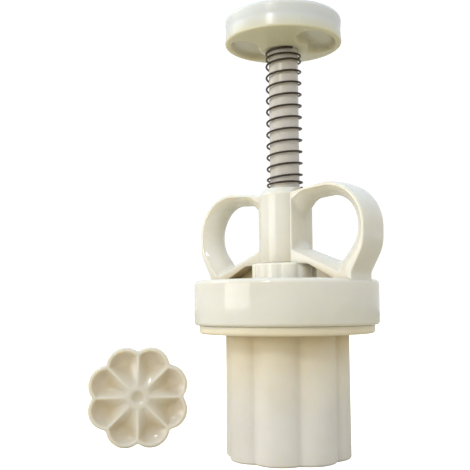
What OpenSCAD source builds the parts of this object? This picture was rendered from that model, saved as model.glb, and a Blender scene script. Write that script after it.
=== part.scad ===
// Mooncake press: a lobed barrel, a finger-loop handle that twists onto it, and a sprung
// plunger that carries a flower stamp. Millimetres, +Z up. The origin lies on the press
// axis in the plane of the barrel's mouth, and +X runs through a finger loop.

/* [Lobes] */
// Number of lobes round the barrel, and of petals on the stamps
lobes = 8; // [7:1:10]
// Radius over the tips of the barrel's lobes
lobe_tip_r = 23.6; // [23:0.1:25]
// Radius of each lobe's own arc, outside the barrel
lobe_arc_r = 10.5; // [10:0.1:11]
// Radius that softens the valleys between the lobes
valley_r = 1.6; // [1.2:0.1:2]

/* [Barrel] */
// Wall of the lobed tube
barrel_wall = 2.5; // [2:0.1:3]
// Height of the flange's underside above the mouth
flange_z = 45.8; // [44:0.1:46.5]
// Thickness of the flange's floor
flange_floor = 2.9; // [2:0.1:3.4]
// How far the flange lies inside the collar's radius
flange_inset = 1.8; // [1:0.1:2.2]
// Fillet round the flange's lower edge
flange_fillet = 1.2; // [0.6:0.1:1.8]
// Height of the neck above the flange's floor
neck_h = 8.2; // [8:0.1:9]
// Wall of the neck
neck_wall = 2.6; // [2:0.1:3]

/* [Bayonet] */
// Thickness of the collar's skirt at the lips that hold the lugs
lip_wall = 3.1; // [2.8:0.1:3.4]
// Number of lugs on the neck
lugs = 2; // [2:1:3]
// How far a lug stands out of the neck
lug_depth = 1.4; // [1:0.1:1.6]
// Height of a lug
lug_h = 3.4; // [2.6:0.1:3.8]
// Angle that a lug covers, in degrees
lug_sweep = 36; // [24:1:40]
// Extra angle of an entry slot over its lug, in degrees
slot_play = 6; // [4:1:8]
// Turn of the handle from locked to open, in degrees
twist_range = 66; // [60:1:70]
// Direction of the first lug, in degrees from +X
lug_at = 15; // [0:1:90]

/* [Collar] */
// Outer radius of the collar
collar_r = 35; // [34.8:0.1:36]
// Height of the collar
collar_h = 16.7; // [16:0.1:18]
// Thickness of the collar's top plate
plate = 2.7; // [2:0.1:3]
// Radius of the opening in the top plate
plate_hole_r = 15; // [14.5:0.1:16]
// Fillet round the collar's top edge
collar_top_fillet = 1.7; // [1:0.1:2]
// Fillet round the collar's lower edge
collar_low_fillet = 0.8; // [0.4:0.1:1.2]

/* [Post] */
// Outer radius of the post
post_r = 10; // [9.6:0.1:10.4]
// Radius of the post's top, under the spring
post_top_r = 7.8; // [7.6:0.1:8.4]
// Height of the post
post_h = 28.6; // [28:0.1:30]
// Height of the chamfer round the post's top
post_chamfer = 2.4; // [1.5:0.1:3]
// Height of the post's foot above the collar's top
post_lift = 6.5; // [6:0.1:7.5]

/* [Finger loops] */
// Width of the loops along Y
loop_w = 13; // [12:0.5:15]
// Wall of a loop at its edges
loop_wall = 1.7; // [1.4:0.1:2]
// How far each face of a loop swells towards the middle of its width
loop_crown = 0.9; // [0.4:0.1:1.2]
// Rounding along the loops' edges
loop_edge = 0.5; // [0.3:0.1:0.7]
// Radius of the opening's outer bend
bend_r = 14.8; // [14:0.1:15.2]
// Distance of the outer bend's centre from the press axis
bend_x = 23.2; // [22.6:0.1:24]
// Height of the outer bend's centre above the post's foot
bend_lift = 12; // [11.6:0.1:12.4]
// Least distance of the opening from the press axis
opening_x = 8.2; // [8:0.1:8.6]
// Radius of the opening's bend at the top of the post
upper_r = 7; // [6:0.1:8]
// Radius of the opening's bend at the foot of the post
lower_r = 3; // [2.4:0.1:3.6]
// Radius of the opening's bend above the collar
corner_r = 3.4; // [3:0.1:3.8]
// Distance of that bend's centre inside the collar's radius
corner_inset = 5; // [4.6:0.1:5.6]
// Height of that bend's centre above the collar's top
corner_lift = 5.6; // [5.2:0.1:6]
// Height of the bend at the foot of the post, from the foot to its centre
lower_lift = 6; // [5.6:0.1:6.6]
// How far the opening's top falls towards the post
upper_drop = 0.4; // [0:0.1:1]
// How far the foot of a loop lies inside the collar's radius
foot_inset = 0.4; // [0.2:0.1:1]
// Distance from the press axis at which a web starts to slope
web_start = 12.4; // [12:0.1:12.8]
// Distance from the press axis at which a web meets the collar
web_end = 25.6; // [25:0.1:26.4]
// Thickness of the rib under each web
rib_t = 1.8; // [1.2:0.1:2.4]

/* [Plunger] */
// Travel of the plunger
stroke = 36; // [30:0.5:36]
// Radius of the rod
rod_r = 5.7; // [5.4:0.1:5.8]
// Radius over the socket's scallops
socket_r = 13; // [12.6:0.1:13.4]
// Number of scallops round the socket
scallops = 12; // [8:1:16]
// Depth of the rod's seat in the socket
seat_depth = 13.8; // [12:0.1:14.4]
// Thickness of the socket's floor under the rod
socket_floor = 2; // [1.6:0.1:2.6]

/* [Stamp] */
// Thickness of the stamp's plate
stamp_t = 5; // [4.5:0.1:5.5]
// Radius of the stem that plugs into the socket
stem_r = 7.75; // [7.4:0.05:8]
// Wall of the stem
stem_wall = 2.4; // [2:0.1:2.8]
// Height of the stem
stem_h = 9; // [8:0.1:9.4]
// Depth of a petal's hollow
petal_depth = 2.2; // [1.6:0.1:2.4]
// Half width of a petal's hollow at its widest
petal_half_w = 4.7; // [4:0.1:4.8]
// Radius of the dimple in the middle
dimple_r = 2; // [1.5:0.1:2.4]
// Depth of the dimple in the middle
dimple_depth = 0.8; // [0.4:0.1:1]
// Place of the spare stamp's centre beside the press
spare_at = [-55.5, -26.8];
// Direction that the spare stamp faces, in degrees from +X
spare_facing = -40; // [-90:1:0]

/* [Knob] */
// Radius of the knob
knob_r = 22.8; // [22:0.1:24]
// Height of the knob from its rim to the middle of its crown
knob_h = 13; // [12:0.1:14]
// Height of the knob's side wall
knob_side_h = 10.2; // [9.5:0.1:10.6]
// Wall of the knob
knob_wall = 3.2; // [2.6:0.1:3.6]
// How far the knob's side is drawn in at half height
knob_waist = 0.4; // [0:0.1:0.8]
// How far the boss stands below the knob's rim
boss_drop = 2.2; // [1.6:0.1:2.6]
// Radius of the boss at its lower end
boss_r = 7.8; // [7.6:0.1:8.4]
// Radius of the boss where it meets the crown
boss_root_r = 11.4; // [10:0.1:12.4]
// Angle that each of the two webs covers, in degrees
web_sweep = 88; // [60:1:100]
// Direction of the first web, in degrees from +X
web_at = -70; // [-90:1:90]

/* [Spring] */
// Length of the fitted spring
spring_len = 55; // [54:0.5:58]
// Radius of the spring to the middle of its wire
spring_r = 6.35; // [6.3:0.05:6.5]
// Diameter of the spring's wire
wire_d = 1.1; // [0.9:0.05:1.1]
// Number of coils
coils = 13.25; // [12:0.25:14]
// Share of a coil over which each end levels out
end_ease = 1.25; // [1.25:0.05:1.5]
// Direction of the wire's lower end, in degrees from +X
spring_from = -20; // [-180:5:180]

/* [Screw] */
// Radius of the screw's thread
screw_r = 2; // [1.8:0.05:2.1]
// Length of the screw under its head
screw_l = 16; // [12:1:20]
// Radius of the screw's head
screw_head_r = 3.9; // [3.6:0.1:4.1]
// Height of the screw's head
screw_head_h = 2.6; // [2:0.1:3]

/* [Clearances] */
// Radial clearance of a running fit
run_gap = 0.08; // [0.04:0.01:0.1]
// Radial clearance between the stamp and the barrel
stamp_gap = 0.25; // [0.2:0.05:0.4]
// Clearance between the bayonet's parts
bayonet_gap = 0.25; // [0.2:0.05:0.35]
// Gap left between faces that stop one another
stop_gap = 0.3; // [0.2:0.05:0.35]

/* [Hidden] */
$fn = 96;
ivory = [0.93, 0.91, 0.83];
cream = [0.88, 0.85, 0.75];
steel = [0.35, 0.35, 0.36];
past = 1;

// Lobes
half_lobe = 180 / lobes;
lobe_at = lobe_tip_r - lobe_arc_r;
bore_arc_r = lobe_arc_r - barrel_wall;
stamp_arc_r = bore_arc_r - stamp_gap;
arc_steps = 8;
valley_steps = 3;
fillet_steps = 5;
crown_steps = 6;

// Heights from the mouth upwards
floor_top = flange_z + flange_floor;
collar_z = floor_top + stop_gap;
collar_top = collar_z + collar_h;
post_foot = collar_top + post_lift;
post_top = post_foot + post_h;
socket_top = post_foot - stop_gap;
stamp_z = stroke;
socket_z = stamp_z + stamp_t + stop_gap;
socket_h = socket_top - socket_z;
rod_z = socket_top - seat_depth;
socket_under = rod_z - socket_floor;
boss_z = post_top + spring_len;
knob_rim = boss_z + boss_drop;
knob_ceiling = knob_rim + knob_side_h - knob_wall;
rod_top = knob_ceiling;

// Bayonet
lip_r = collar_r - lip_wall;
neck_r = lip_r - bayonet_gap;
flange_r = collar_r - flange_inset;
neck_top = floor_top + neck_h;
lug_z = neck_top - lug_h;
groove_r = lip_r + lug_depth;
groove_z = lug_z - bayonet_gap;
groove_h = lug_h + 2 * bayonet_gap;
lug_pitch = 360 / lugs;
slot_sweep = lug_sweep + slot_play;
slot_r = groove_r + bayonet_gap / 2;

// Centres of the bends of a finger loop's opening, as x, z and radius
bend = [bend_x, post_foot + bend_lift, bend_r];
upper = [opening_x + upper_r, bend[1] + bend_r - upper_r - upper_drop, upper_r];
lower = [opening_x + lower_r, post_foot + lower_lift, lower_r];
corner = [collar_r - corner_inset, collar_top + corner_lift, corner_r];
// Rounding of the loop's foot and of its web
foot_r = 1.2;
web_r = 1;
bend_steps = 8;
// Shares of the loop's half width at which its section is drawn
half_shares = [0.25, 0.6, 1 - 2 * loop_edge / loop_w, 1];
loop_shares = concat([for (k = [len(half_shares) - 1 : -1 : 0]) -half_shares[k]], half_shares);

// Petal hollows: the axis of each hollow lies outside the face, sloping outwards
petal_x = lobe_at;
petal_r = (petal_half_w * petal_half_w + petal_depth * petal_depth) / (2 * petal_depth);
petal_root_x = 4;
petal_root_w = 1.3;
petal_root_depth = 0.35;
root_r = (petal_root_w * petal_root_w + petal_root_depth * petal_root_depth)
         / (2 * petal_root_depth);
ball_r = (dimple_r * dimple_r + dimple_depth * dimple_depth) / (2 * dimple_depth);

// Spring
spring_rings = 8;
wire_sides = 6;
seat_gap = 0.05;
ring_r = spring_r / cos(180 / spring_rings);
spring_low = post_top + seat_gap + wire_d / 2;
spring_rise = boss_z - post_top - 2 * seat_gap - wire_d;
pitch = spring_rise / (coils - end_ease);

// Points of an arc about a centre, in order of angle
function arc(at, r, from, to, steps) =
    [for (k = [0 : steps]) let (a = from + (to - from) * k / steps)
        [at[0] + r * cos(a), at[1] + r * sin(a)]];

// Outline of round lobes: a convex arc on each lobe and a small concave one in each valley
function lobed(count, centre_r, arc_r, soften) =
    let (half = 180 / count,
         side = centre_r * sin(half),
         span = arc_r + soften,
         valley_x = centre_r * cos(half) + sqrt(span * span - side * side),
         open = 90 - asin(side / span))
    [for (k = [0 : count - 1])
        let (turn = 2 * half * k,
             lobe = turn + half,
             lobe_c = [centre_r * cos(lobe), centre_r * sin(lobe)],
             valley_c = [valley_x * cos(turn), valley_x * sin(turn)])
        each concat(
            arc(valley_c, soften, turn + 270 - open, turn + 90 + open, valley_steps),
            arc(lobe_c, arc_r, turn - 90 + open, turn + 2 * half + 90 - open, arc_steps))];

// Direction of the outward normal where a straight side joins two bends
function side_normal(a, b) =
    atan2(b[1] - a[1], b[0] - a[0])
    - acos((a[2] - b[2]) / norm([b[0] - a[0], b[1] - a[1]]));
function nearest(a, to) = a - 360 * round((a - to) / 360);

// Closed outline round bends that are listed anticlockwise; a hollow bend has a negative radius
function round_outline(bends, steps) =
    [for (i = [0 : len(bends) - 1])
        let (n = len(bends),
             here = bends[i],
             from = side_normal(bends[(i + n - 1) % n], here),
             to = nearest(side_normal(here, bends[(i + 1) % n]), from))
        each arc(here, here[2], from, to, steps)];

// Closed skin over rings of points, each ring anticlockwise as seen from the first end, and
// with all of its points in sight of its first one
module skin(rings) {
    n = len(rings[0]);
    last = (len(rings) - 1) * n;
    polyhedron(
        points = [for (ring = rings) each ring],
        faces = concat(
            [for (j = [1 : n - 2]) [0, j + 1, j]],
            [for (j = [1 : n - 2]) [last, last + j, last + j + 1]],
            [for (i = [0 : len(rings) - 2]) for (j = [0 : n - 1])
                [i * n + j, i * n + (j + 1) % n, (i + 1) * n + (j + 1) % n]],
            [for (i = [0 : len(rings) - 2]) for (j = [0 : n - 1])
                [i * n + j, (i + 1) * n + (j + 1) % n, (i + 1) * n + j]]));
}

// Ring with a rectangular section
module ring(outer, inner, z, h) {
    translate([0, 0, z])
        difference() {
            cylinder(r = outer, h = h);
            translate([0, 0, -past]) cylinder(r = inner, h = h + 2 * past);
        }
}

// Part of a ring, from one angle on over a sweep
module ring_part(outer, inner, z, h, from, sweep) {
    rotate([0, 0, from])
        rotate_extrude(angle = sweep)
            translate([inner, z]) square([outer - inner, h]);
}

module barrel() {
    color(ivory)
    difference() {
        union() {
            linear_extrude(floor_top) polygon(lobed(lobes, lobe_at, lobe_arc_r, valley_r));
            rotate_extrude()
                polygon(concat(
                    [[0, floor_top], [0, flange_z]],
                    arc([flange_r - flange_fillet, flange_z + flange_fillet],
                        flange_fillet, -90, 0, fillet_steps),
                    [[flange_r, floor_top]]));
            ring(neck_r, neck_r - neck_wall, flange_z + flange_fillet,
                 neck_top - flange_z - flange_fillet);
            for (k = [0 : lugs - 1])
                ring_part(neck_r + lug_depth, neck_r - neck_wall / 2, lug_z, lug_h,
                          lug_at - lug_sweep / 2 + k * lug_pitch, lug_sweep);
        }
        translate([0, 0, -past])
            linear_extrude(floor_top + 2 * past) polygon(lobed(lobes, lobe_at, bore_arc_r, valley_r));
    }
}

// Section of the collar: skirt, bayonet groove and top plate
module collar_section() {
    difference() {
        polygon(concat(
            [[plate_hole_r, collar_top], [plate_hole_r, collar_z]],
            arc([collar_r - collar_low_fillet, collar_z + collar_low_fillet],
                collar_low_fillet, -90, 0, fillet_steps),
            arc([collar_r - collar_top_fillet, collar_top - collar_top_fillet],
                collar_top_fillet, 0, 90, fillet_steps)));
        translate([0, collar_z - past])
            square([lip_r, collar_h - plate + past]);
        translate([0, groove_z]) square([groove_r, groove_h]);
    }
}

// Bends of a loop's opening, drawn in by the crown
function opening_bends(swell) =
    [[bend[0], bend[1], bend[2] - swell],
     [upper[0], upper[1], upper[2] - swell],
     [lower[0], lower[1], lower[2] - swell / 3],
     corner];

// Bends of the outside of a loop, its web and its foot
function outer_bends(swell) =
    [[bend[0], bend[1], bend[2] + loop_wall + swell],
     [post_r / 3, bend[1] + bend_r + loop_wall + swell - web_r, web_r],
     [post_r / 3, post_foot + web_r, web_r],
     [web_start, post_foot - web_r, -web_r],
     [web_end, collar_top - plate / 2, web_r],
     [collar_r - foot_inset - foot_r, collar_top - plate / 2, foot_r]];

// Swell of a loop's faces at a share of its half width, less the rounding of its edge
function swell_at(share) =
    loop_crown * (1 - share * share) - (abs(share) == 1 ? loop_edge : 0);

module loop_outside() {
    skin([for (s = loop_shares)
        [for (p = round_outline(outer_bends(swell_at(s)), bend_steps))
            [p[0], s * loop_w / 2, p[1]]]]);
}

module loop_opening() {
    outline = [for (s = concat([loop_shares[0]], loop_shares, [1]))
        round_outline(opening_bends(swell_at(s)), bend_steps)];
    at_y = concat([-post_r - past], [for (s = loop_shares) s * loop_w / 2], [post_r + past]);
    skin([for (i = [0 : len(at_y) - 1]) [for (p = outline[i]) [p[0], at_y[i], p[1]]]]);
}

// Rib under a web, from the collar's top plate up into the web
module web_rib() {
    inner = plate_hole_r + stop_gap;
    translate([0, rib_t / 2, 0])
        rotate([90, 0, 0])
            linear_extrude(rib_t)
                polygon([[inner, collar_top - plate / 2], [web_end, collar_top - plate / 2],
                         [web_end, collar_top + web_r / 2], [inner, post_foot - web_r / 2]]);
}

module handle() {
    color(ivory)
    difference() {
        union() {
            rotate_extrude() collar_section();
            translate([0, 0, post_foot]) cylinder(r = post_r, h = post_h - post_chamfer);
            translate([0, 0, post_top - post_chamfer])
                cylinder(r1 = post_r, r2 = post_top_r, h = post_chamfer);
            for (side = [0, 1])
                mirror([side, 0, 0]) {
                    loop_outside();
                    web_rib();
                }
        }
        for (side = [0, 1])
            mirror([side, 0, 0]) loop_opening();
        translate([0, 0, post_foot - past])
            cylinder(r = rod_r + run_gap, h = post_h + 2 * past);
        // Flat seat of the spring, level with the post's top
        translate([0, 0, post_top]) cylinder(r = post_top_r, h = loop_wall + loop_crown);
        // Slots that let the lugs in, open at the collar's lower edge
        for (k = [0 : lugs - 1])
            ring_part(slot_r, lip_r - past, collar_z - past, groove_z - collar_z + 2 * past,
                      lug_at + twist_range - slot_sweep / 2 + k * lug_pitch, slot_sweep);
        // Room for the neck and the socket under the top plate
        cylinder(r = plate_hole_r, h = collar_top + past);
    }
}

module push_knob() {
    rise = knob_h - knob_side_h;
    crown_r = (knob_r * knob_r + rise * rise) / (2 * rise);
    crown_z = knob_rim + knob_h - crown_r;
    edge = 1.6;
    rim_r = 0.6;
    draft = 0.4;
    // The edge's arc meets the crown's arc and the side without a crease
    shoulder = acos((knob_r - edge) / (crown_r - edge));
    edge_z = crown_z + (crown_r - edge) * sin(shoulder);
    color(ivory)
    difference() {
        union() {
            // Crown, side wall and rim
            rotate_extrude()
                polygon(concat(
                    [[0, knob_ceiling],
                     [knob_r - knob_wall - draft, knob_ceiling],
                     [knob_r - knob_wall, knob_rim]],
                    arc([knob_r - rim_r, knob_rim + rim_r], rim_r, -90, 0, fillet_steps),
                    [[knob_r - knob_waist, knob_rim + knob_side_h / 2]],
                    arc([knob_r - edge, edge_z], edge, 0, shoulder, fillet_steps),
                    arc([0, crown_z], crown_r, shoulder, 90, crown_steps)));
            // Boss that carries the rod
            translate([0, 0, boss_z])
                cylinder(r1 = boss_r, r2 = boss_root_r,
                         h = knob_ceiling + knob_wall / 2 - boss_z);
            // Webs between the boss and the rim
            for (k = [0, 1])
                rotate([0, 0, web_at - web_sweep / 2 + 180 * k])
                    rotate_extrude(angle = web_sweep)
                        polygon([[0, boss_z], [boss_r, boss_z],
                                 [knob_r - knob_wall / 2, knob_rim + rim_r],
                                 [knob_r - knob_wall / 2, knob_ceiling + knob_wall / 2],
                                 [0, knob_ceiling + knob_wall / 2]]);
        }
        translate([0, 0, boss_z - past])
            cylinder(r = rod_r + run_gap, h = rod_top + stop_gap - boss_z + past);
    }
}

module push_rod() {
    pilot_r = screw_r + run_gap;
    edge = 0.8;
    color(cream)
    difference() {
        union() {
            translate([0, 0, rod_z]) cylinder(r = rod_r, h = rod_top - rod_z - edge);
            translate([0, 0, rod_top - edge]) cylinder(r1 = rod_r, r2 = rod_r - edge, h = edge);
        }
        translate([0, 0, rod_z - past]) cylinder(r = pilot_r, h = screw_l + past);
    }
}

// Place on the spring's middle line after a number of coils
function spring_at(t) =
    let (a = spring_from + 360 * t,
         z = t < end_ease ? pitch * t * t / (2 * end_ease)
             : t > coils - end_ease
             ? spring_rise - pitch * pow(coils - t, 2) / (2 * end_ease)
             : pitch * (t - end_ease / 2))
    [ring_r * cos(a), ring_r * sin(a), spring_low + z];
function spring_along(t) =
    let (a = spring_from + 360 * t,
         climb = t < end_ease ? pitch * t / end_ease
                 : t > coils - end_ease ? pitch * (coils - t) / end_ease : pitch,
         v = [-sin(a) * 2 * PI * ring_r, cos(a) * 2 * PI * ring_r, climb])
    v / norm(v);
function wire_ring(t, shift) =
    let (a = spring_from + 360 * t,
         along = spring_along(t),
         outward = [cos(a), sin(a), 0],
         upward = cross(outward, along),
         at = spring_at(t) + shift * along)
    [for (k = [0 : wire_sides - 1]) let (b = 360 * k / wire_sides)
        at + wire_d / 2 * (cos(b) * outward + sin(b) * upward)];

module return_spring() {
    steps = round(coils * spring_rings);
    gaps = [for (k = [0 : steps - spring_rings]) for (j = [-1 : 1])
        let (t = k / spring_rings, u = min(coils, t + 1 + j / spring_rings))
        norm(spring_at(u) - spring_at(t)) - wire_d];
    echo(spring_least_gap = min(gaps));
    // Each end runs on level and straight for one wire diameter over its seat
    color(steel)
    skin(concat([wire_ring(0, -wire_d)],
                [for (k = [0 : steps]) wire_ring(k * coils / steps, 0)],
                [wire_ring(coils, wire_d)]));
}

module stamp_socket() {
    half = 180 / scallops;
    scallop_r = socket_r * sin(half) * 1.1;
    rim = 0.8;
    color(ivory)
    difference() {
        union() {
            translate([0, 0, socket_z])
                linear_extrude(socket_h - rim)
                    polygon(lobed(scallops, socket_r - scallop_r, scallop_r, rim));
            translate([0, 0, socket_top - rim])
                linear_extrude(rim)
                    polygon(lobed(scallops, socket_r - scallop_r, scallop_r - rim / 2, rim));
        }
        translate([0, 0, rod_z])
            cylinder(r = rod_r + run_gap, h = seat_depth + past);
        translate([0, 0, socket_under - past])
            cylinder(r = screw_r + run_gap, h = socket_floor + 2 * past);
        translate([0, 0, socket_under - screw_head_h - stop_gap])
            cylinder(r = screw_head_r + stop_gap, h = screw_head_h + stop_gap);
        translate([0, 0, socket_z - past])
            cylinder(r = stem_r + run_gap,
                     h = socket_under - screw_head_h - socket_z + past);
    }
}

module socket_screw() {
    head_z = socket_under - screw_head_h - run_gap;
    slot_w = 1;
    edge = 0.6;
    color(steel)
    translate([0, 0, head_z])
        difference() {
            union() {
                cylinder(r1 = screw_head_r - edge, r2 = screw_head_r, h = edge);
                translate([0, 0, edge]) cylinder(r = screw_head_r, h = screw_head_h - edge);
                cylinder(r = screw_r, h = screw_head_h + screw_l);
            }
            for (turn = [0, 90])
                rotate([0, 0, turn])
                    translate([-screw_r, -slot_w / 2, -past])
                        cube([2 * screw_r, slot_w, past + screw_head_h / 2]);
        }
}

// Stamp with its patterned face in the plane z = 0, looking down, and its stem above
module stamp() {
    slope = atan2(petal_r - petal_depth - root_r + petal_root_depth, petal_x - petal_root_x);
    run = (petal_x - petal_root_x) / cos(slope);
    difference() {
        union() {
            linear_extrude(stamp_t) polygon(lobed(lobes, lobe_at, stamp_arc_r, valley_r));
            translate([0, 0, stamp_t - past]) cylinder(r = stem_r, h = stem_h + past);
        }
        translate([0, 0, stamp_t])
            cylinder(r = stem_r - stem_wall, h = stem_h + past);
        for (k = [0 : lobes - 1])
            rotate([0, 0, half_lobe * (2 * k + 1)]) {
                translate([petal_root_x, 0, petal_root_depth - root_r])
                    rotate([0, 90 + slope, 0]) cylinder(r1 = root_r, r2 = petal_r, h = run);
                translate([petal_x, 0, petal_depth - petal_r]) sphere(r = petal_r);
            }
        translate([0, 0, dimple_depth - ball_r]) sphere(r = ball_r);
    }
}

module flower_stamp() {
    color(cream) translate([0, 0, stamp_z]) stamp();
}

// Spare stamp standing on the tips of two petals, its face turned to one side
module spare_stamp() {
    stand = lobe_at * cos(half_lobe) + stamp_arc_r;
    color(cream)
    translate([spare_at[0], spare_at[1], stand])
        rotate([0, 0, spare_facing + 90]) rotate([-90, 0, 0]) stamp();
}

barrel();
handle();
push_knob();
push_rod();
return_spring();
stamp_socket();
socket_screw();
flower_stamp();
spare_stamp();
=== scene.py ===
import math

import bpy
import numpy as np
from mathutils import Matrix, Vector


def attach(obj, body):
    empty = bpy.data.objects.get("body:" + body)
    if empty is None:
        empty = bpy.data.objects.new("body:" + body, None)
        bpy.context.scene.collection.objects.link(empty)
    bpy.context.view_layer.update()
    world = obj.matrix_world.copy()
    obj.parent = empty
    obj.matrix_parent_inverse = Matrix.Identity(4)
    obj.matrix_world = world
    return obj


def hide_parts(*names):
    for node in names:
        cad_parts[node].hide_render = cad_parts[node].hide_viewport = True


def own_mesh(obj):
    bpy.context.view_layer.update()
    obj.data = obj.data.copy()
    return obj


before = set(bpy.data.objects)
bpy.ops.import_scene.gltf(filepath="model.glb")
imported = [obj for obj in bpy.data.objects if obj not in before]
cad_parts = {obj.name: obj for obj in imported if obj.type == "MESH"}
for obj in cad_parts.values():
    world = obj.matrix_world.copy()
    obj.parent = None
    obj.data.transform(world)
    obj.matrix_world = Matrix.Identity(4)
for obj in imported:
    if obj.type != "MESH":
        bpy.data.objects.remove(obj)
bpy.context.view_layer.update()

# The construction's own box, before anything is dressed. Sizes below are millimetres, except
# for the table, the lights and the camera's near limit, which are metres.
mm = 0.001


# ------------------------------------------------------------------------------------------
# Camera
# It stands level with the collar, in front of and beside the right finger loop, and looks
# slightly up, so that the underside of the knob and the side of the barrel both show.
# ------------------------------------------------------------------------------------------
camera_bearing = math.radians(39.5)
camera_distance = 299.25
camera_height = 56.15
camera_yaw = -0.065
camera_pitch = 0.091
camera_roll = -0.007
nearest_seen = 0.01
sensor_width = 36
focal_pixels = 779.46
picture_pixels = 470

bpy.ops.object.camera_add(location=(camera_distance * math.sin(camera_bearing) * mm,
                                    -camera_distance * math.cos(camera_bearing) * mm,
                                    camera_height * mm))
camera = bpy.context.object
camera.matrix_world = (Matrix.Translation(camera.location)
                       @ Matrix.Rotation(camera_bearing - camera_yaw, 4, "Z")
                       @ Matrix.Rotation(math.pi / 2 + camera_pitch, 4, "X")
                       @ Matrix.Rotation(camera_roll, 4, "Z"))
camera.data.sensor_fit = "HORIZONTAL"
camera.data.sensor_width = sensor_width
camera.data.lens = focal_pixels * sensor_width / picture_pixels
camera.data.clip_start = nearest_seen
bpy.context.scene.camera = camera


# ------------------------------------------------------------------------------------------
# Table and studio light
# A tan table that only the camera sees as pure white, in a white room that is bluer overhead.
# Three panels of light stand to the left of the camera. The tall one draws the straight bright
# bars on the collar, the post and the rod.
# ------------------------------------------------------------------------------------------
bpy.context.scene.view_settings.view_transform = "Standard"

table_size = 6
table_tan = (0.56, 0.5, 0.37, 1)
table_seen = 1.1
table_roughness = 0.9
table_shine = 0.1

bpy.ops.mesh.primitive_plane_add(size=table_size)
table = bpy.context.object
table.name = "table"
table_paint = bpy.data.materials.new("matt_table")
table_paint.use_nodes = True
table_shader = table_paint.node_tree.nodes["Principled BSDF"]
table_shader.inputs["Base Color"].default_value = table_tan
table_shader.inputs["Roughness"].default_value = table_roughness
table_shader.inputs["Specular IOR Level"].default_value = table_shine
table_shader.inputs["Emission Color"].default_value = (1, 1, 1, 1)
table_look = table_paint.node_tree.nodes.new("ShaderNodeLightPath")
table_glow = table_paint.node_tree.nodes.new("ShaderNodeMath")
table_glow.operation = "MULTIPLY"
table_glow.inputs[1].default_value = table_seen
table_paint.node_tree.links.new(table_look.outputs["Is Camera Ray"], table_glow.inputs[0])
table_paint.node_tree.links.new(table_glow.outputs["Value"],
                                table_shader.inputs["Emission Strength"])
table.data.materials.append(table_paint)

wall_white = (1, 0.985, 0.95, 1)
ceiling_white = (1.1, 1.27, 1.55, 1)
walls_up_to = 0.15
ceiling_from = 0.8
room_light = 0.84
backdrop_light = 1.05

room = bpy.data.worlds.new("white_room")
bpy.context.scene.world = room
room.use_nodes = True
room_nodes, room_links = room.node_tree.nodes, room.node_tree.links
walls = room_nodes["Background"]
walls.inputs["Strength"].default_value = room_light
toward = room_nodes.new("ShaderNodeTexCoord")
upward = room_nodes.new("ShaderNodeSeparateXYZ")
room_links.new(toward.outputs["Generated"], upward.inputs["Vector"])
room_shade = room_nodes.new("ShaderNodeValToRGB")
room_shade.color_ramp.elements[0].position = walls_up_to
room_shade.color_ramp.elements[0].color = wall_white
room_shade.color_ramp.elements[1].position = ceiling_from
room_shade.color_ramp.elements[1].color = ceiling_white
room_links.new(upward.outputs["Z"], room_shade.inputs["Fac"])
room_links.new(room_shade.outputs["Color"], walls.inputs["Color"])
backdrop = room_nodes.new("ShaderNodeBackground")
backdrop.inputs["Color"].default_value = (1, 1, 1, 1)
backdrop.inputs["Strength"].default_value = backdrop_light
seen = room_nodes.new("ShaderNodeLightPath")
room_mix = room_nodes.new("ShaderNodeMixShader")
room_links.new(seen.outputs["Is Camera Ray"], room_mix.inputs["Fac"])
room_links.new(walls.outputs["Background"], room_mix.inputs[1])
room_links.new(backdrop.outputs["Background"], room_mix.inputs[2])
room_links.new(room_mix.outputs["Shader"], room_nodes["World Output"].inputs["Surface"])


def window(name, bearing, distance, low, high, width, radiance, colour=(1, 1, 1)):
    """An upright panel of light that faces the press, from one height to another, in metres."""
    heading = math.radians(bearing)
    bpy.ops.object.light_add(type="AREA", location=(distance * math.cos(heading),
                                                    distance * math.sin(heading),
                                                    (low + high) / 2))
    panel = bpy.context.object
    panel.name = name
    panel.data.shape = "RECTANGLE"
    panel.data.size = width
    panel.data.size_y = high - low
    panel.data.energy = radiance * math.pi * width * (high - low)
    panel.data.color = colour
    panel.rotation_euler = (math.pi / 2, 0, heading + math.pi / 2)
    panel.visible_camera = False
    return panel


window("tall_window", bearing=-112, distance=1.0, low=0.01, high=0.31, width=0.62, radiance=3.3)
window("high_window", bearing=-150, distance=1.0, low=0.5, high=1.1, width=0.7, radiance=2.4,
       colour=(0.93, 0.97, 1))
window("small_lamp", bearing=-76, distance=0.8, low=0.5, high=0.62, width=0.12, radiance=42)


# ------------------------------------------------------------------------------------------
# Barrel
# One ivory moulding: a tube of eight round lobes, a round flange, and a neck inside the
# collar with two bayonet lugs. Its mouth is what the press stands on.
# ------------------------------------------------------------------------------------------
def paint(red, green, blue):
    """Colour given as on screen, from 0 to 255, as light."""
    return tuple(((c / 255 + 0.055) / 1.055) ** 2.4 for c in (red, green, blue)) + (1,)


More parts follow.
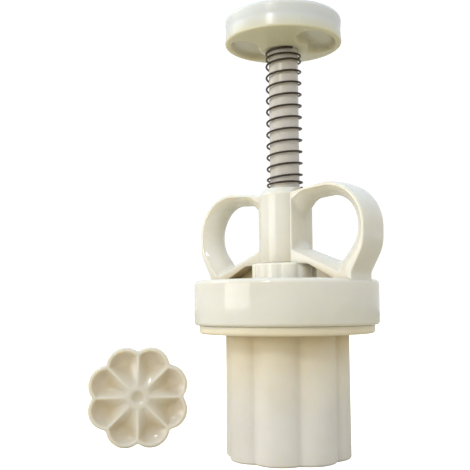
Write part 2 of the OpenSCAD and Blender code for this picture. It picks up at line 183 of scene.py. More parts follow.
def plastic(name, light, dark, roughness, depth=2.5, painted_light_tints=((1, 1, 1, 1), (1, 1, 1, 1)),
            heights=(0, 1)):
    """Moulded plastic that light sinks into: cloudy patches, a painted tint between two heights in
    mm that stands in for light and shade, painted tan shade where the piece shelters itself, and
    faint rub marks."""
    cloud_scale = 38
    all_dark, all_light = 0.32, 0.66
    # Reach and tone of the painted shade that ambient occlusion puts in recesses and corners.
    painted_shade_reach = 16
    painted_shade_tone = (0.7, 0.6, 0.42, 1)
    closed_in, in_the_open = 0.35, 0.92
    rub_scale = 420
    rub_stretch = (1, 1, 0.15)
    gloss_low, gloss_high = 0.9, 1.12
    bump_strength, bump_height = 0.04, 0.02

    material = bpy.data.materials.new(name)
    material.use_nodes = True
    nodes, links = material.node_tree.nodes, material.node_tree.links
    shader = nodes["Principled BSDF"]
    place = nodes.new("ShaderNodeTexCoord")

    clouds = nodes.new("ShaderNodeTexNoise")
    clouds.inputs["Scale"].default_value = cloud_scale
    clouds.inputs["Detail"].default_value = 4
    links.new(place.outputs["Object"], clouds.inputs["Vector"])
    tint = nodes.new("ShaderNodeValToRGB")
    tint.color_ramp.elements[0].position = all_dark
    tint.color_ramp.elements[0].color = dark
    tint.color_ramp.elements[1].position = all_light
    tint.color_ramp.elements[1].color = light
    links.new(clouds.outputs["Fac"], tint.inputs["Fac"])
    axes = nodes.new("ShaderNodeSeparateXYZ")
    links.new(place.outputs["Object"], axes.inputs["Vector"])
    # Painted light and shade: a tint that changes with height, set for each piece, stands in for
    # cool light from above and warm shade below.
    level = nodes.new("ShaderNodeMapRange")
    level.inputs["From Min"].default_value = heights[0] * mm
    level.inputs["From Max"].default_value = heights[1] * mm
    links.new(axes.outputs["Z"], level.inputs["Value"])
    painted_light_by_height = nodes.new("ShaderNodeValToRGB")
    painted_light_by_height.color_ramp.elements[0].color = painted_light_tints[0]
    painted_light_by_height.color_ramp.elements[1].color = painted_light_tints[1]
    links.new(level.outputs["Result"], painted_light_by_height.inputs["Fac"])
    with_painted_height_light = nodes.new("ShaderNodeMix")
    with_painted_height_light.data_type = "RGBA"
    with_painted_height_light.blend_type = "MULTIPLY"
    with_painted_height_light.inputs["Factor"].default_value = 1
    links.new(tint.outputs["Color"], with_painted_height_light.inputs["A"])
    links.new(painted_light_by_height.outputs["Color"], with_painted_height_light.inputs["B"])
    # Painted shade: recesses, corners and undersides that ambient occlusion finds sheltered turn
    # tan.
    openness = nodes.new("ShaderNodeAmbientOcclusion")
    openness.samples = 8
    openness.only_local = True
    openness.inputs["Distance"].default_value = painted_shade_reach * mm
    painted_shade_ramp = nodes.new("ShaderNodeValToRGB")
    painted_shade_ramp.color_ramp.elements[0].position = closed_in
    painted_shade_ramp.color_ramp.elements[0].color = painted_shade_tone
    painted_shade_ramp.color_ramp.elements[1].position = in_the_open
    painted_shade_ramp.color_ramp.elements[1].color = (1, 1, 1, 1)
    links.new(openness.outputs["AO"], painted_shade_ramp.inputs["Fac"])
    with_painted_shade = nodes.new("ShaderNodeMix")
    with_painted_shade.name = "with_painted_shade"
    with_painted_shade.data_type = "RGBA"
    with_painted_shade.blend_type = "MULTIPLY"
    with_painted_shade.inputs["Factor"].default_value = 1
    links.new(with_painted_height_light.outputs["Result"], with_painted_shade.inputs["A"])
    links.new(painted_shade_ramp.outputs["Color"], with_painted_shade.inputs["B"])
    links.new(with_painted_shade.outputs["Result"], shader.inputs["Base Color"])

    stretch = nodes.new("ShaderNodeMapping")
    stretch.inputs["Scale"].default_value = rub_stretch
    links.new(place.outputs["Object"], stretch.inputs["Vector"])
    rubs = nodes.new("ShaderNodeTexNoise")
    rubs.inputs["Scale"].default_value = rub_scale
    rubs.inputs["Detail"].default_value = 5
    links.new(stretch.outputs["Vector"], rubs.inputs["Vector"])
    gloss = nodes.new("ShaderNodeMapRange")
    gloss.inputs["To Min"].default_value = roughness * gloss_low
    gloss.inputs["To Max"].default_value = roughness * gloss_high
    links.new(rubs.outputs["Fac"], gloss.inputs["Value"])
    links.new(gloss.outputs["Result"], shader.inputs["Roughness"])

    skin = nodes.new("ShaderNodeBump")
    skin.inputs["Strength"].default_value = bump_strength
    skin.inputs["Distance"].default_value = bump_height * mm
    links.new(rubs.outputs["Fac"], skin.inputs["Height"])
    links.new(skin.outputs["Normal"], shader.inputs["Normal"])

    shader.inputs["IOR"].default_value = 1.49
    shader.inputs["Subsurface Weight"].default_value = 0.6
    shader.inputs["Subsurface Radius"].default_value = (1, 0.82, 0.5)
    shader.inputs["Subsurface Scale"].default_value = depth * mm
    return material


def rounded(corners, steps=5):
    """Points of a closed outline whose corners, as (x, z, radius), are rounded."""
    points = []
    for k, (x, z, radius) in enumerate(corners):
        corner = Vector((x, z))
        if radius == 0:
            points.append((x, z))
            continue
        before = (Vector(corners[k - 1][:2]) - corner).normalized()
        after = (Vector(corners[(k + 1) % len(corners)][:2]) - corner).normalized()
        half = before.angle(after) / 2
        centre = corner + (before + after).normalized() * (radius / math.sin(half))
        first = corner + before * (radius / math.tan(half)) - centre
        last = corner + after * (radius / math.tan(half)) - centre
        turn = math.atan2(first.x * last.y - first.y * last.x, first.dot(last))
        for step in range(steps + 1):
            points.append(tuple(centre + Matrix.Rotation(turn * step / steps, 2) @ first))
    return points


def lathe(name, outline, steps):
    """Spin a closed outline of (radius, height) points round the press axis into a solid."""
    bpy.ops.object.select_all(action="DESELECT")
    bpy.ops.mesh.primitive_circle_add(vertices=len(outline), radius=mm)
    piece = bpy.context.object
    piece.name = piece.data.name = name
    for vertex, (radius, height) in zip(piece.data.vertices, outline):
        vertex.co = (radius * mm, 0, height * mm)
    bpy.ops.object.mode_set(mode="EDIT")
    bpy.ops.mesh.select_all(action="SELECT")
    bpy.ops.mesh.spin(steps=steps, angle=math.tau, center=(0, 0, 0), axis=(0, 0, 1))
    tidy_up()
    return piece


def tidy_up():
    """Merge doubles, drop loose edges, turn the faces outwards and leave edit mode."""
    merge_within = 0.002
    bpy.ops.mesh.select_all(action="SELECT")
    bpy.ops.mesh.remove_doubles(threshold=merge_within * mm)
    bpy.ops.mesh.delete_loose()
    bpy.ops.mesh.select_all(action="SELECT")
    bpy.ops.mesh.normals_make_consistent(inside=False)
    bpy.ops.object.mode_set(mode="OBJECT")


def reshape(piece, move):
    """Move each vertex by a rule that takes and gives its bearing, radius and height in mm."""
    for vertex in piece.data.vertices:
        x, y, z = vertex.co / mm
        bearing = math.atan2(y, x)
        radius, height = move(bearing, math.hypot(x, y), z)
        vertex.co = Vector((radius * math.cos(bearing), radius * math.sin(bearing), height)) * mm
    piece.data.update()


def lobe_reach(bearing, count, centre, arc, valley):
    """Distance from the axis to an outline of round lobes, with valleys at multiples of a lobe."""
    half = math.pi / count
    off = abs((bearing + half) % (2 * half) - half)
    lobe = Vector((centre * math.cos(half), centre * math.sin(half)))
    span = arc + valley
    dip = Vector((lobe.x + math.sqrt(span * span - lobe.y * lobe.y), 0))
    joint = lobe + (dip - lobe) * (arc / span)
    if off < math.atan2(joint.y, joint.x):
        return dip.x * math.cos(off) - math.sqrt(max(valley ** 2 - (dip.x * math.sin(off)) ** 2, 0))
    off = half - off
    return centre * math.cos(off) + math.sqrt(arc ** 2 - (centre * math.sin(off)) ** 2)


def finish(piece, body, node, material, crease=35):
    """Give a finished mesh its material and shading, and put it on its body for its node."""
    piece.data.materials.clear()
    piece.data.materials.append(material)
    bpy.ops.object.select_all(action="DESELECT")
    bpy.context.view_layer.objects.active = piece
    piece.select_set(True)
    bpy.ops.object.shade_smooth_by_angle(angle=math.radians(crease))
    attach(piece, body)
    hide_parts(node)


lobes = 8
lobe_turn = math.radians(6)
lobe_at = 13.1
lobe_tip_r = 23.6
barrel_wall = 2.5
valley_r = 1.6
flange_z = 45.8
flange_top = 48.92
flange_r = 33.2
neck_r = 31.65
neck_wall = 2.6
neck_top = 56.9
lug_z = 53.5
lug_depth = 1.4
lug_half = math.radians(18)
lug_bearing = math.radians(15)
root_fillet = 0.8
spin_steps = 384
hair = 0.01

barrel_outline = rounded([
    (lobe_tip_r, 0, 1.1),
    (lobe_tip_r, flange_z, root_fillet),
    (flange_r, flange_z, 1.3),
    (flange_r, flange_top, 0.15),
    (neck_r, flange_top, 0.3),
    (neck_r, lug_z - hair, 0),
    (neck_r, lug_z, 0),
    (neck_r, neck_top, 0),
    (neck_r - neck_wall, neck_top, 0),
    (neck_r - neck_wall, flange_top, 0.4),
    (lobe_tip_r - barrel_wall, flange_top, 0.5),
    (lobe_tip_r - barrel_wall, 0, 0.9)])


def barrel_shape(bearing, radius, height):
    """Lobes on the tube and its bore, and the two lugs on the neck."""
    if radius <= lobe_tip_r + root_fillet + hair:
        radius = lobe_reach(bearing - lobe_turn, lobes, lobe_at, radius - lobe_at, valley_r)
    off = abs((bearing - lug_bearing + math.pi / 2) % math.pi - math.pi / 2)
    if radius > neck_r - hair and height > lug_z - hair / 2 and off < lug_half:
        radius += lug_depth
    return radius, height


barrel = lathe("barrel_shell", barrel_outline, spin_steps)
reshape(barrel, barrel_shape)
# Painted light: the tube is bluer lower down and warmer up towards the flange, in whose shade it
# stands.
barrel_plastic = plastic("barrel_ivory", paint(228, 221, 204), paint(216, 208, 188), roughness=0.36,
                         painted_light_tints=((0.98, 1, 1.09, 1), (1.1, 1.06, 0.97, 1)), heights=(16, 44))
finish(barrel, "barrel_body", "barrel", barrel_plastic)


# ------------------------------------------------------------------------------------------
# Stamps
# Cream mouldings with a flower in relief: eight scooped petals round a hub with a dimple.
# One is plugged into the socket inside the barrel, the other stands beside the press.
# ------------------------------------------------------------------------------------------
stamp_arc = 7.75
stamp_tip_r = lobe_at + stamp_arc
stamp_t = 5
stem_r = 7.75
stem_bore_r = 5.35
stem_top = 14
hub_r = 4.4
dimple_r = 2.85
dimple_depth = 0.9
petal_depth = 2.4
petal_root_depth = 0.5
petal_rim = 1.3
ridge_half = 0.28
petal_scoop = 4.4
face_rings = 46
face_margin = 0.5
rim_margin = 0.3
stem_margin = 0.6
tip_power = 5
hub_steepness = 1.5
half_lobe = math.pi / lobes

face_rim_r = stamp_tip_r - face_margin
stamp_outline = [(face_rim_r * k / face_rings, 0) for k in range(face_rings)]
stamp_outline += rounded([
    (stamp_tip_r, 0, 0.45),
    (stamp_tip_r, stamp_t, 0.3),
    (stem_r, stamp_t, 0.5),
    (stem_r, stem_top, 0.5),
    (stem_bore_r, stem_top, 0.3),
    (stem_bore_r, stamp_t, 0.3)], steps=3)
stamp_outline += [(0, stamp_t)]


def stamp_shape(bearing, radius, height):
    """Lobed plate with scooped petals and a dimple in its lower face; the stem stays round."""
    if radius > stem_r + stem_margin or height < stamp_t / 2:
        tip_share = radius / stamp_tip_r
        reach = lobe_reach(bearing, lobes, lobe_at, stamp_arc, valley_r) / stamp_tip_r
        radius *= 1 - (1 - reach) * min(tip_share, 1) ** tip_power
    if height > hair or radius > stamp_tip_r - rim_margin:
        return radius, height
    if radius < dimple_r:
        return radius, dimple_depth * (1 - (radius / dimple_r) ** 2)
    off = abs(bearing % (2 * half_lobe) - half_lobe)
    along, across = radius * math.cos(off), radius * math.sin(off)
    to_ridge = radius * math.sin(half_lobe - off) - ridge_half
    to_rim = stamp_arc - petal_rim - math.hypot(max(along - lobe_at, 0), across)
    to_hub = radius - hub_r
    inside = min(to_ridge, to_rim, to_hub * hub_steepness) / petal_scoop
    if inside <= 0:
        return radius, height
    scoop = 1 - (1 - min(inside, 1)) ** 2
    slope = min((along - hub_r) / (lobe_at - hub_r), 1)
    return radius, scoop * (petal_root_depth + (petal_depth - petal_root_depth) * slope)


def stamp_cream(name, centre, facing):
    """Cream plastic with painted shade down in the scooped pockets and a painted lighter tone
    towards the thin rim, where light shows through.
    """
    pocket_floor = -1.9
    browner_within, whiter_beyond = 13, 20
    painted_pocket_shade = (0.86, 0.79, 0.64, 1)

    material = plastic(name, paint(226, 220, 206), paint(218, 210, 192), roughness=0.12, depth=3.5)
    nodes, links = material.node_tree.nodes, material.node_tree.links
    shader, with_painted_shade = nodes["Principled BSDF"], nodes["with_painted_shade"]
    place = nodes["Texture Coordinate"]

    from_centre = nodes.new("ShaderNodeVectorMath")
    from_centre.operation = "SUBTRACT"
    from_centre.inputs[1].default_value = Vector(centre) * mm
    links.new(place.outputs["Object"], from_centre.inputs[0])
    outward = nodes.new("ShaderNodeVectorMath")
    outward.operation = "DOT_PRODUCT"
    outward.inputs[1].default_value = facing
    links.new(from_centre.outputs["Vector"], outward.inputs[0])
    face_share = nodes.new("ShaderNodeMapRange")
    face_share.inputs["From Min"].default_value = pocket_floor * mm
    face_share.inputs["From Max"].default_value = 0
    links.new(outward.outputs["Value"], face_share.inputs["Value"])
    reach = nodes.new("ShaderNodeVectorMath")
    reach.operation = "LENGTH"
    links.new(from_centre.outputs["Vector"], reach.inputs[0])
    rim_share = nodes.new("ShaderNodeMapRange")
    rim_share.inputs["From Min"].default_value = browner_within * mm
    rim_share.inputs["From Max"].default_value = whiter_beyond * mm
    links.new(reach.outputs["Value"], rim_share.inputs["Value"])
    painted_light_share = nodes.new("ShaderNodeMath")
    painted_light_share.operation = "MAXIMUM"
    links.new(face_share.outputs["Result"], painted_light_share.inputs[0])
    links.new(rim_share.outputs["Result"], painted_light_share.inputs[1])

    # Painted shade in the scooped pockets, painted light towards the thin rim.
    pocket = nodes.new("ShaderNodeMix")
    pocket.data_type = "RGBA"
    pocket.inputs["A"].default_value = painted_pocket_shade
    pocket.inputs["B"].default_value = (1, 1, 1, 1)
    links.new(painted_light_share.outputs["Value"], pocket.inputs["Factor"])
    with_painted_pocket_light = nodes.new("ShaderNodeMix")
    with_painted_pocket_light.data_type = "RGBA"
    with_painted_pocket_light.blend_type = "MULTIPLY"
    with_painted_pocket_light.inputs["Factor"].default_value = 1
    links.new(with_painted_shade.outputs["Result"], with_painted_pocket_light.inputs["A"])
    links.new(pocket.outputs["Result"], with_painted_pocket_light.inputs["B"])
    links.new(with_painted_pocket_light.outputs["Result"], shader.inputs["Base Color"])
    return material


stamp = lathe("flower_stamp_relief", stamp_outline, spin_steps)
reshape(stamp, stamp_shape)

bpy.ops.object.select_all(action="DESELECT")
stamp.select_set(True)
bpy.context.view_layer.objects.active = stamp
bpy.ops.object.duplicate()
spare = bpy.context.object
spare.name = spare.data.name = "spare_stamp_relief"

stamp_z = 36
stamp.data.transform(Matrix.Translation((0, 0, stamp_z * mm))
                     @ Matrix.Rotation(lobe_turn, 4, "Z"))
finish(stamp, "fitted_stamp", "flower_stamp",
       stamp_cream("fitted_stamp_cream", (0, 0, stamp_z), (0, 0, -1)), crease=50)

spare_at = (-55.5, -26.8)
spare_facing = math.radians(-40)
spare_stand = lobe_at * math.cos(half_lobe) + stamp_arc
spare.data.transform(Matrix.Translation(Vector((*spare_at, spare_stand)) * mm)
                     @ Matrix.Rotation(spare_facing + math.pi / 2, 4, "Z")
                     @ Matrix.Rotation(-math.pi / 2, 4, "X"))
finish(spare, "loose_stamp", "spare_stamp",
       stamp_cream("spare_stamp_cream", (*spare_at, spare_stand),
                   (math.cos(spare_facing), math.sin(spare_facing), 0)), crease=50)


# ------------------------------------------------------------------------------------------
# Socket
# Ivory hub with twelve scallops that takes the stamp's stem from below and the rod from
# above. Its rounded top edge shows between the collar and the foot of the post.
# ------------------------------------------------------------------------------------------
scallops = 12
socket_r = 13
scallop_arc = 3.7
scallop_valley = 0.8
scallop_share = 0.55
scallop_band = 2
socket_z = 41.3
socket_top = 72.08
socket_spin = 288
rod_hole_r, rod_floor = 5.78, 58.1
screw_hole_r, screw_seat = 2.08, 56.1
screw_head_r, stem_stop = 4.2, 53.5
stem_hole_r = 7.83
socket_wall = rounded([
    (socket_r, socket_z, 0.4),
    (socket_r, socket_top, 0.8),
    (rod_hole_r, socket_top, 0.5),
    (rod_hole_r, rod_floor, 0),
    (screw_hole_r, rod_floor, 0),
    (screw_hole_r, screw_seat, 0),
    (screw_head_r, screw_seat, 0),
    (screw_head_r, stem_stop, 0),
    (stem_hole_r, stem_stop, 0),
    (stem_hole_r, socket_z, 0.3)])


def socket_shape(bearing, radius, height):
    """Scallops on the outside only."""
    if radius > socket_r - scallop_band:
        arc = scallop_arc + radius - socket_r
        reach = lobe_reach(bearing, scallops, socket_r - scallop_arc, arc, scallop_valley)
        radius += (reach - radius) * scallop_share
    return radius, height


socket = lathe("scalloped_socket", socket_wall, socket_spin)
reshape(socket, socket_shape)
socket_plastic = plastic("socket_ivory", paint(232, 229, 216), paint(222, 216, 196),
                         roughness=0.16)
finish(socket, "plunger", "stamp_socket", socket_plastic)


# ------------------------------------------------------------------------------------------
# Screw
# A zinc-plated self-tapping screw that draws the socket onto the rod. It is hidden inside, so
# it stays the construction's own node and only gets its metal here.
# ------------------------------------------------------------------------------------------
def steel(name, colour, roughness, grain):
    """Steel whose colour and shine both vary with the same fine grain."""
    shaded = 0.55
    all_shaded, all_bright = 0.3, 0.7
    shiniest, dullest = 0.7, 1.4

    material = bpy.data.materials.new(name)
    material.use_nodes = True
    nodes, links = material.node_tree.nodes, material.node_tree.links
    shader = nodes["Principled BSDF"]
    shader.inputs["Metallic"].default_value = 1
    place = nodes.new("ShaderNodeTexCoord")
    lines = nodes.new("ShaderNodeTexNoise")
    lines.inputs["Scale"].default_value = grain
    lines.inputs["Detail"].default_value = 6
    links.new(place.outputs["Object"], lines.inputs["Vector"])
    shade = nodes.new("ShaderNodeValToRGB")
    shade.color_ramp.elements[0].position = all_shaded
    shade.color_ramp.elements[0].color = tuple(c * shaded for c in colour[:3]) + (1,)
    shade.color_ramp.elements[1].position = all_bright
    shade.color_ramp.elements[1].color = colour
    links.new(lines.outputs["Fac"], shade.inputs["Fac"])
    links.new(shade.outputs["Color"], shader.inputs["Base Color"])
    dullness = nodes.new("ShaderNodeMapRange")
    dullness.inputs["To Min"].default_value = roughness * shiniest
    dullness.inputs["To Max"].default_value = roughness * dullest
    links.new(lines.outputs["Fac"], dullness.inputs["Value"])
    links.new(dullness.outputs["Result"], shader.inputs["Roughness"])
    return material


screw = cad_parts["socket_screw"]
screw.data.materials.clear()
screw.data.materials.append(steel("zinc_plate", paint(200, 200, 198), roughness=0.3, grain=700))


# ------------------------------------------------------------------------------------------
# Rod
# A plain grey-beige bar with rounded ends and a pilot hole for the screw in its foot. It is
# what the spring winds round, between the post and the knob.
# ------------------------------------------------------------------------------------------
rod_r = 5.7
rod_spin = 128
rod_low, rod_top = 58.1, 165
pilot_r, pilot_top = 2.08, 74.1
rod_outline = rounded([
    (rod_r, rod_low, 0.4),
    (rod_r, rod_top, 0.8),
    (0, rod_top, 0),
    (0, pilot_top, 0),
    (pilot_r, pilot_top, 0),
    (pilot_r, rod_low, 0)])
rod = lathe("plunger_rod", rod_outline, rod_spin)
rod_plastic = plastic("rod_grey_beige", paint(208, 201, 190), paint(192, 184, 170),
                      roughness=0.26)
finish(rod, "plunger", "push_rod", rod_plastic)


# ------------------------------------------------------------------------------------------
# Handle
# One ivory moulding: the collar that twists onto the barrel's neck, the post that guides the
# rod, and two finger loops whose webs run down to the collar, each with a rib underneath.
# ------------------------------------------------------------------------------------------
collar_r = 35
collar_spin = 320
collar_z = 49
collar_top = 65.7
plate_hole_r = 15
plate_under = 63
lip_r = 31.9
groove_r = 33.3
groove_low, groove_high = 53.25, 57.15
lip_margin = 0.4
slot_r = 33.42
slot_bearing = math.radians(81)
slot_half = math.radians(21)

collar_outline = rounded([
    (collar_r, collar_z, 1.3),
    (collar_r, collar_top, 1.7),
    (plate_hole_r, collar_top, 0.5),
    (plate_hole_r, plate_under, 0.3),
    (lip_r, plate_under, 0.5),
    (lip_r, groove_high, 0),
    (groove_r, groove_high, 0),
    (groove_r, groove_low, 0),
    (lip_r, groove_low, 0),
    (lip_r, collar_z, 0.3)])


def collar_shape(bearing, radius, height):
    """Two entry slots for the lugs in the lip under the groove."""
    off = abs((bearing - slot_bearing + math.pi / 2) % math.pi - math.pi / 2)
    if lip_r - hair < radius < lip_r + lip_margin and height < groove_low + hair and off < slot_half:
        radius = slot_r
    return radius, height


handle = lathe("finger_handle", collar_outline, collar_spin)
reshape(handle, collar_shape)

post_r = 10
post_foot = 72.2
post_top = 100.8
post_side = 7.7
post_spin = 128
post_shoulder = 2.2
post_rim_r = 7.9
post = lathe("post", rounded([
    (post_r, post_foot, 0.5),
    (post_r, post_top - post_shoulder, 1.6),
    (post_rim_r, post_top, 0.4),
    (0, post_top, 0),
    (0, post_foot, 0)]), post_spin)
for vertex in post.data.vertices:
    vertex.co.x = min(max(vertex.co.x, -post_side * mm), post_side * mm)

# Bends of a loop as (x, z, radius), anticlockwise; a hollow bend has a negative radius. Each
# outline is given at the edges of the loop's width and in the middle of it.
loop_w = 13
loop_edge = 0.35
loop_centre = (23.4, 84.2)
loop_stations = 256
outside_at_edge = [
    (23.5, 84.1, 16.5),
    (3.3, 96.9, 1),
    (3.3, 73.2, 1),
    (15.2, 70.4, -1),
    (31.6, 64.35, 1),
    (33.6, 64.35, 0.8),
    (37, 67, -2.6),
    (26.2, 80.9, 13.7)]
outside_in_middle = [
    (23.5, 84.1, 16.9),
    (3.3, 97.6, 1),
    (3.3, 73.2, 1),
    (15.2, 70.4, -1),
    (31.6, 64.35, 1),
    (33.6, 64.35, 0.8),
    (37, 67, -2.6),
    (26.2, 80.9, 14.2)]
opening_at_edge = [
    (23.5, 83.9, 15.3),
    (15.2, 92.5, 6.2),
    (8.6, 95.3, 0.4),
    (8.6, 77.25, 0.4),
    (29.3, 70.5, 2.3)]
opening_in_middle = [
    (22.9, 84.7, 11.65),
    (17.6, 89.0, 7),
    (14.4, 87.4, 5.5),
    (13, 81.2, 4.1),
    (26.2, 75.4, 3.2)]


def blended(at_edge, in_middle, hump):
    """Bends between two outlines of a loop."""
    return [tuple(a + (b - a) * hump for a, b in zip(first, second))
            for first, second in zip(at_edge, in_middle)]


def round_bends(bends, steps=24):
    """Closed outline round bends, each side touching the bends that it joins."""
    def facing(a, b):
        run, rise = b[0] - a[0], b[1] - a[1]
        return math.atan2(rise, run) - math.acos((a[2] - b[2]) / math.hypot(run, rise))

    points = []
    for k, (x, z, radius) in enumerate(bends):
        start = facing(bends[k - 1], bends[k])
        end = facing(bends[k], bends[(k + 1) % len(bends)])
        end -= math.tau * round((end - start) / math.tau)
        for step in range(steps + 1):
            turn = start + (end - start) * step / steps
            points.append((x + radius * math.cos(turn), z + radius * math.sin(turn)))
    return points


def reach_from(centre, outline, turns):
    """Distance from a centre to an outline round it, in each direction."""
    start = np.array(outline) - centre
    side = np.roll(start, -1, axis=0) - start
    ray = np.stack([np.cos(turns), np.sin(turns)], axis=1)[:, None]

    def cross(a, b):
        return a[..., 0] * b[..., 1] - a[..., 1] * b[..., 0]

    slant = cross(ray, side) + 1e-12
    far = cross(start, side) / slant
    share = cross(start, ray) / slant
    hit = (share > -1e-6) & (share < 1 + 1e-6) & (far > 0)
    return np.where(hit, far, np.inf).min(axis=1)


def loop_section():
    """Places round a loop's section: how far across, and in or out with what rounding."""
    flat = loop_w / 2 - loop_edge
    inner = [(flat * k / 8, "in", 0) for k in range(-8, 9)]
    outer = [(flat * k / 8, "out", 0) for k in range(8, -9, -1)]
    quarter = [math.radians(a) for a in (22.5, 45, 67.5, 90)]
    back_in = [(flat + loop_edge * math.sin(a), "in", loop_edge * (1 - math.cos(a)))
               for a in quarter]
    back_out = [(flat + loop_edge * math.sin(a), "out", -loop_edge * (1 - math.cos(a)))
                for a in reversed(quarter)]
    front_out = [(-across, which, lift) for across, which, lift in reversed(back_out)]
    front_in = [(-across, which, lift) for across, which, lift in reversed(back_in)]
    return inner + back_in + back_out + outer + front_out + front_in


def finger_loop(side):
    """A closed band round one opening, with crowned faces and rounded edges."""
    section = loop_section()
    turns = np.linspace(0, math.tau, loop_stations, endpoint=False)
    bpy.ops.object.select_all(action="DESELECT")
    bpy.ops.mesh.primitive_torus_add(major_segments=loop_stations,
                                     minor_segments=len(section))
    band = bpy.context.object
    band.name = "loop"
    places = np.zeros((loop_stations, len(section), 3))
    for k, (across, which, lift) in enumerate(section):
        share = min(abs(across) / (loop_w / 2 - loop_edge), 1)
        hump = 1 - share * share
        if which == "in":
            outline = round_bends(blended(opening_at_edge, opening_in_middle, hump))
        else:
            outline = round_bends(blended(outside_at_edge, outside_in_middle, hump))
        reach = reach_from(loop_centre, outline, turns) + lift
        places[:, k, 0] = side * (loop_centre[0] + reach * np.cos(turns))
        places[:, k, 1] = across
        places[:, k, 2] = loop_centre[1] + reach * np.sin(turns)
    band.data.vertices.foreach_set("co", (places * mm).ravel())
    bpy.ops.object.mode_set(mode="EDIT")
    tidy_up()
    return band


def rib(side):
    """The upright rib between a web and the collar's top plate."""
    thickness = 1.8
    near, far = 15.3, 23.5
    foot, far_top, near_top = 64.35, 67.9, 72
    corners = [(near, foot), (far, foot), (far, far_top), (near, near_top)]
    bpy.ops.object.select_all(action="DESELECT")
    bpy.ops.mesh.primitive_circle_add(vertices=len(corners), fill_type="NGON")
    plate = bpy.context.object
    for vertex, (x, z) in zip(plate.data.vertices, corners):
        vertex.co = (side * x * mm, -thickness / 2 * mm, z * mm)
    bpy.ops.object.mode_set(mode="EDIT")
    bpy.ops.mesh.select_all(action="SELECT")
    bpy.ops.mesh.extrude_region_move(TRANSFORM_OT_translate={"value": (0, thickness * mm, 0)})
    tidy_up()
    return plate


def combine(piece, others, operation):
    """Join other solids to a piece, or cut them out of it."""
    for other in others:
        bpy.ops.object.select_all(action="DESELECT")
        bpy.context.view_layer.objects.active = piece
        piece.select_set(True)
        bpy.ops.object.modifier_add(type="BOOLEAN")
        modifier = piece.modifiers[-1]
        modifier.object = other
        modifier.operation = operation
        modifier.solver = "MANIFOLD"
        bpy.ops.object.modifier_apply(modifier=modifier.name)
        bpy.data.objects.remove(other)


def bar(radius, low, high):
    """A round bar on the press axis, to cut with."""
    return lathe("bar", [(radius, low), (radius, high), (0, high), (0, low)], post_spin)


combine(handle, [post, finger_loop(1), finger_loop(-1), rib(1), rib(-1)], "UNION")
bore_r = 5.78
seat_r = 7.8
cut_past = 5
combine(handle, [bar(bore_r, post_foot - cut_past, post_top + cut_past),
                 bar(seat_r, post_top, post_top + cut_past)], "DIFFERENCE")
handle_plastic = plastic("handle_ivory", paint(227, 223, 209), paint(217, 211, 194),
                         roughness=0.09)
finish(handle, "handle_body", "handle", handle_plastic, crease=30)


# ------------------------------------------------------------------------------------------
# Spring
# A right-handed compression spring of dark drawn wire round the rod, between the post's top
# and the knob's boss. Its end coils lie closer together than the others.
# ------------------------------------------------------------------------------------------
coils = 13.9
coil_steps = 56
wire_r = 0.4
wire_sides = 14
spring_r = 6.66
seat_gap = 0.05
boss_z = 155.8
spring_low = post_top + wire_r + seat_gap
spring_high = boss_z - wire_r - seat_gap
even_pitch = 10
spring_from = math.radians(18)
low_end = 1.7
high_end = 2.0
end_pitch = 0.48

bpy.ops.object.select_all(action="DESELECT")
bpy.ops.mesh.primitive_circle_add(vertices=wire_sides, radius=wire_r * mm,
                                  location=(spring_r * mm, 0, 0), rotation=(math.pi / 2, 0, 0))
spring = bpy.context.object
spring.name = spring.data.name = "wire_spring"
bpy.ops.object.transform_apply(location=True, rotation=True, scale=True)
bpy.ops.object.modifier_add(type="SCREW")
screw_up = spring.modifiers[-1]
screw_up.angle = math.tau * coils
screw_up.screw_offset = coils * even_pitch * mm
screw_up.steps = screw_up.render_steps = round(coils * coil_steps)
screw_up.use_merge_vertices = False
bpy.ops.object.modifier_apply(modifier=screw_up.name)


def climb(turn):
    """Height share of the wire after a number of coils; the end coils climb less."""
    whole = coils - (low_end + high_end) * (1 - end_pitch)
    if turn < low_end:
        return turn * end_pitch / whole
    if turn > coils - high_end:
        return 1 - (coils - turn) * end_pitch / whole
    return (turn - low_end * (1 - end_pitch)) / whole


wire = np.zeros(len(spring.data.vertices) * 3)
spring.data.vertices.foreach_get("co", wire)
wire = wire.reshape(-1, wire_sides, 3)
for ring in wire:
    middle = ring.mean(axis=0)
    turn = middle[2] / (even_pitch * mm)
    ring[:, 2] += (spring_low + (spring_high - spring_low) * climb(turn)) * mm - middle[2]
spring.data.vertices.foreach_set("co", wire.ravel())
spring.data.transform(Matrix.Rotation(spring_from, 4, "Z"))
bpy.ops.object.mode_set(mode="EDIT")
bpy.ops.mesh.select_all(action="DESELECT")
bpy.ops.mesh.select_non_manifold()
bpy.ops.mesh.fill_holes(sides=0)
tidy_up()
finish(spring, "handle_body", "return_spring",
       steel("drawn_wire", paint(84, 74, 66), roughness=0.3, grain=1500), crease=60)
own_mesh(spring)


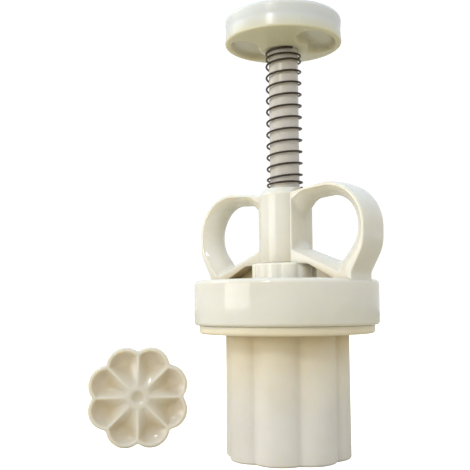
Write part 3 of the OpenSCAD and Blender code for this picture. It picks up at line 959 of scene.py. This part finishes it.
# ------------------------------------------------------------------------------------------
# Knob
# One ivory moulding: a low crowned cap with a slightly drawn-in side, a trumpet boss for the
# rod under it, and a kidney-shaped hollow on each side of the web that joins boss and rim.
# ------------------------------------------------------------------------------------------
knob_r = 22.8
knob_rim = 158
knob_top = 171
knob_side_h = 10.2
knob_waist = 0.4
knob_bore_top = rod_top + 0.3
crown_h = 2.8
crown_rings = 10
boss_r = 7.8
hollow_inner, hollow_outer = 10.2, 19.9
hollow_ceiling = 159.9
hollow_lip = 2.4
hollow_sweep = math.radians(92)
hollow_bearing = math.radians(20)
knob_spin = 288

crown = [(knob_r * k / crown_rings, knob_top - crown_h * (k / crown_rings) ** 2, 0)
         for k in range(crown_rings - 1, 0, -1)]
under_rings = 40
under_from, under_to = 8.2, 22
under_gap = 0.15
under_curve = 0.8
knob_lip = 0.8
under = [(under_from + (under_to - under_from) * k / under_rings,
          boss_z + under_gap
          + (knob_rim - boss_z - under_gap) * (k / under_rings) ** under_curve, 0)
         for k in range(under_rings)]
knob_outline = rounded(under + [
    (under_to + knob_lip, knob_rim, 0.7),
    (knob_r - knob_waist, knob_rim + knob_side_h / 2, 9),
    (knob_r, knob_rim + knob_side_h, 1.9)] + crown + [
    (0, knob_top, 0),
    (0, knob_bore_top, 0),
    (bore_r, knob_bore_top, 0),
    (bore_r, boss_z, 0),
    (boss_r, boss_z, 0)])


def knob_shape(bearing, radius, height):
    """Raise the two hollows out of the underside."""
    if not (under_from - hair < radius < under_to and height < knob_rim + hair):
        return radius, height
    middle = (hollow_inner + hollow_outer) / 2
    half_w = (hollow_outer - hollow_inner) / 2
    off = (bearing - hollow_bearing + math.pi / 2) % math.pi - math.pi / 2
    end = hollow_sweep / 2 - half_w / middle
    if abs(off) < end:
        away = abs(radius - middle)
    else:
        away = math.dist((radius, 0), (middle * math.cos(abs(off) - end),
                                       middle * math.sin(abs(off) - end)))
    depth = min(max((half_w + hollow_lip / 2 - away) / hollow_lip, 0), 1)
    depth = depth * depth * (3 - 2 * depth)
    return radius, height + (hollow_ceiling - height) * depth


knob = lathe("palm_knob", knob_outline, knob_spin)
reshape(knob, knob_shape)
# Painted light: a tan underside where the knob is in shade, and a bluer top lit from above.
knob_plastic = plastic("knob_ivory", paint(213, 212, 202), paint(206, 203, 190), roughness=0.26,
                       depth=4, painted_light_tints=((1, 0.95, 0.74, 1), (1, 1.02, 1.08, 1)), heights=(157.5, 163))
finish(knob, "plunger", "push_knob", knob_plastic, crease=40)
